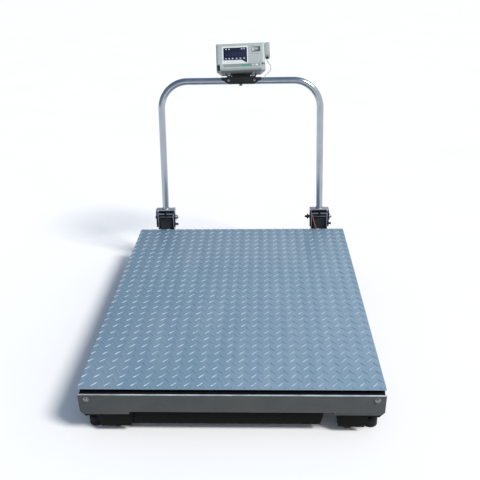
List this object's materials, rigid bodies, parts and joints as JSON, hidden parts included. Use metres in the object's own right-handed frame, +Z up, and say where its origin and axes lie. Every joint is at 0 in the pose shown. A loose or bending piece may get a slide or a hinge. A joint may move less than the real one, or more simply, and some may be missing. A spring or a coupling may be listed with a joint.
{
  "type": "pallet scale",
  "caption": "Mobile platform scale with a chequered deck on load cells, casters, levelling feet and a folding handrail that carries a tilting indicator.",
  "frame": {"origin": "middle of the bounding box footprint, on the floor under the feet", "axes": "+Z up, -Y the front edge of the deck, +Y towards the handrail, +X right seen from the front"},
  "size_m": [1.204, 1.7176, 1.2638],
  "materials": {
    "deck_paint": "satin blue-grey paint on chequered plate, lug tops worn brighter",
    "frame_paint": "satin dark grey paint",
    "black_paint": "matt black paint",
    "inner_paint": "dull blue-grey paint, unlit underside",
    "stainless": "polished stainless tube with fine lengthwise grain",
    "hinge_steel": "bright zinc-plated folded sheet",
    "zinc": "bright zinc plating",
    "alloy": "satin milled alloy",
    "rubber": "matt black rubber",
    "black_plastic": "black moulded plastic",
    "red_plastic": "dark red moulded cap",
    "case_plastic": "pale grey-green moulded plastic, fine texture",
    "case_back": "warm grey moulded plastic",
    "display": "dark navy display window",
    "board": "green circuit board",
    "battery_case": "dark grey sealed battery",
    "key_green": "green key",
    "key_pink": "pale pink key",
    "key_pale": "pale key",
    "cable_white": "white cable sheath",
    "cable_orange": "orange-red cable sheath"
  },
  "bodies": {
    "frame": {"corner_pan_front_left": "black_paint", "corner_pan_front_right": "black_paint", "corner_pan_rear_left": "black_paint", "corner_pan_rear_right": "black_paint", "deck_frame": "inner_paint", "deck_plate": "deck_paint", "front_rail": "frame_paint", "hinge_base_left": "hinge_steel", "hinge_base_right": "hinge_steel", "junction_box": "alloy", "junction_lid": "alloy", "left_rail": "frame_paint", "load_button_front_left": "zinc", "load_button_front_right": "zinc", "load_button_rear_left": "zinc", "load_button_rear_right": "zinc", "load_cell_front_left": "alloy", "load_cell_front_right": "alloy", "load_cell_rear_left": "alloy", "load_cell_rear_right": "alloy", "pivot_bolt_left": "zinc", "pivot_bolt_right": "zinc", "rear_rail": "frame_paint", "right_rail": "frame_paint", "signal_cable_lower": "cable_orange", "under_beam": "black_paint"},
    "handrail": {"hinge_clevis_left": "hinge_steel", "hinge_clevis_right": "hinge_steel", "handrail_tube": "stainless", "saddle_bracket": "black_paint", "signal_cable_upper": "cable_white"},
    "indicator": {"indicator_front_case": "case_plastic", "indicator_rear_case": "case_back", "display_window": "display", "display_board": "board", "battery": "battery_case", "cable_gland": "black_plastic"},
    "key_1": {"key_1": "key_green"},
    "key_2": {"key_2": "key_green"},
    "key_3": {"key_3": "key_green"},
    "key_4": {"key_4": "key_pink"},
    "key_5": {"key_5": "key_pale"},
    "lock_pin_left": {"lock_pin_left": "black_plastic"},
    "lock_pin_right": {"lock_pin_right": "black_plastic"},
    "clamp_knob": {"clamp_knob": "black_plastic"},
    "saddle_screw": {"saddle_screw": "red_plastic"},
    "caster_front_left": {"caster_fork_front_left": "black_paint"},
    "wheel_front_left": {"caster_wheel_front_left": "rubber"},
    "foot_front_left": {"levelling_foot_front_left": "rubber"},
    "caster_front_right": {"caster_fork_front_right": "black_paint"},
    "wheel_front_right": {"caster_wheel_front_right": "rubber"},
    "foot_front_right": {"levelling_foot_front_right": "rubber"},
    "caster_rear_left": {"caster_fork_rear_left": "black_paint"},
    "wheel_rear_left": {"caster_wheel_rear_left": "rubber"},
    "foot_rear_left": {"levelling_foot_rear_left": "rubber"},
    "caster_rear_right": {"caster_fork_rear_right": "black_paint"},
    "wheel_rear_right": {"caster_wheel_rear_right": "rubber"},
    "foot_rear_right": {"levelling_foot_rear_right": "rubber"}
  },
  "joints": [
    {"name": "handrail_fold", "type": "hinge", "parent": "frame", "child": "handrail", "pos_m": [0.004, 0.68919, 0.277], "axis": [1, 0, 0], "range_deg": [0, 92]},
    {"name": "indicator_tilt", "type": "hinge", "parent": "handrail", "child": "indicator", "pos_m": [0.011, 0.75031, 1.09841], "axis": [1, 0, 0], "range_deg": [0, 25]},
    {"name": "key_1_press", "type": "slide", "parent": "indicator", "child": "key_1", "axis": [0, 0.8192, -0.5736], "range_m": [0, 0.0015], "stiffness_N_per_m": 400},
    {"name": "key_2_press", "type": "slide", "parent": "indicator", "child": "key_2", "axis": [0, 0.8192, -0.5736], "range_m": [0, 0.0015], "stiffness_N_per_m": 400},
    {"name": "key_3_press", "type": "slide", "parent": "indicator", "child": "key_3", "axis": [0, 0.8192, -0.5736], "range_m": [0, 0.0015], "stiffness_N_per_m": 400},
    {"name": "key_4_press", "type": "slide", "parent": "indicator", "child": "key_4", "axis": [0, 0.8192, -0.5736], "range_m": [0, 0.0015], "stiffness_N_per_m": 400},
    {"name": "key_5_press", "type": "slide", "parent": "indicator", "child": "key_5", "axis": [0, 0.8192, -0.5736], "range_m": [0, 0.0015], "stiffness_N_per_m": 400},
    {"name": "lock_pin_left_pull", "type": "slide", "parent": "handrail", "child": "lock_pin_left", "axis": [1, 0, 0], "range_m": [0, 0.01], "stiffness_N_per_m": 500},
    {"name": "lock_pin_right_pull", "type": "slide", "parent": "handrail", "child": "lock_pin_right", "axis": [1, 0, 0], "range_m": [0, 0.01], "stiffness_N_per_m": 500},
    {"name": "clamp_knob_turn", "type": "hinge", "parent": "frame", "child": "clamp_knob", "pos_m": [0.398, 0.68919, 0.277], "axis": [1, 0, 0], "range_deg": [0, 180]},
    {"name": "saddle_screw_turn", "type": "hinge", "parent": "handrail", "child": "saddle_screw", "pos_m": [0.007, 0.75361, 1.03628], "axis": [0, 0.0872, 0.9962], "range_deg": [0, 180]},
    {"name": "caster_front_left_swivel", "type": "hinge", "parent": "frame", "child": "caster_front_left", "pos_m": [-0.464, -0.79281, 0.06], "axis": [0, 0, 1], "continuous": true},
    {"name": "wheel_front_left_roll", "type": "hinge", "parent": "caster_front_left", "child": "wheel_front_left", "pos_m": [-0.464, -0.81281, 0.03], "axis": [1, 0, 0], "continuous": true},
    {"name": "foot_front_left_screw", "type": "slide", "parent": "frame", "child": "foot_front_left", "axis": [0, 0, -1], "range_m": [0, 0.015]},
    {"name": "caster_front_right_swivel", "type": "hinge", "parent": "frame", "child": "caster_front_right", "pos_m": [0.464, -0.79281, 0.06], "axis": [0, 0, 1], "continuous": true},
    {"name": "wheel_front_right_roll", "type": "hinge", "parent": "caster_front_right", "child": "wheel_front_right", "pos_m": [0.464, -0.81281, 0.03], "axis": [1, 0, 0], "continuous": true},
    {"name": "foot_front_right_screw", "type": "slide", "parent": "frame", "child": "foot_front_right", "axis": [0, 0, -1], "range_m": [0, 0.015]},
    {"name": "caster_rear_left_swivel", "type": "hinge", "parent": "frame", "child": "caster_rear_left", "pos_m": [-0.464, 0.58719, 0.06], "axis": [0, 0, 1], "continuous": true},
    {"name": "wheel_rear_left_roll", "type": "hinge", "parent": "caster_rear_left", "child": "wheel_rear_left", "pos_m": [-0.464, 0.60719, 0.03], "axis": [1, 0, 0], "continuous": true},
    {"name": "foot_rear_left_screw", "type": "slide", "parent": "frame", "child": "foot_rear_left", "axis": [0, 0, -1], "range_m": [0, 0.015]},
    {"name": "caster_rear_right_swivel", "type": "hinge", "parent": "frame", "child": "caster_rear_right", "pos_m": [0.464, 0.58719, 0.06], "axis": [0, 0, 1], "continuous": true},
    {"name": "wheel_rear_right_roll", "type": "hinge", "parent": "caster_rear_right", "child": "wheel_rear_right", "pos_m": [0.464, 0.60719, 0.03], "axis": [1, 0, 0], "continuous": true},
    {"name": "foot_rear_right_screw", "type": "slide", "parent": "frame", "child": "foot_rear_right", "axis": [0, 0, -1], "range_m": [0, 0.015]}
  ]
}
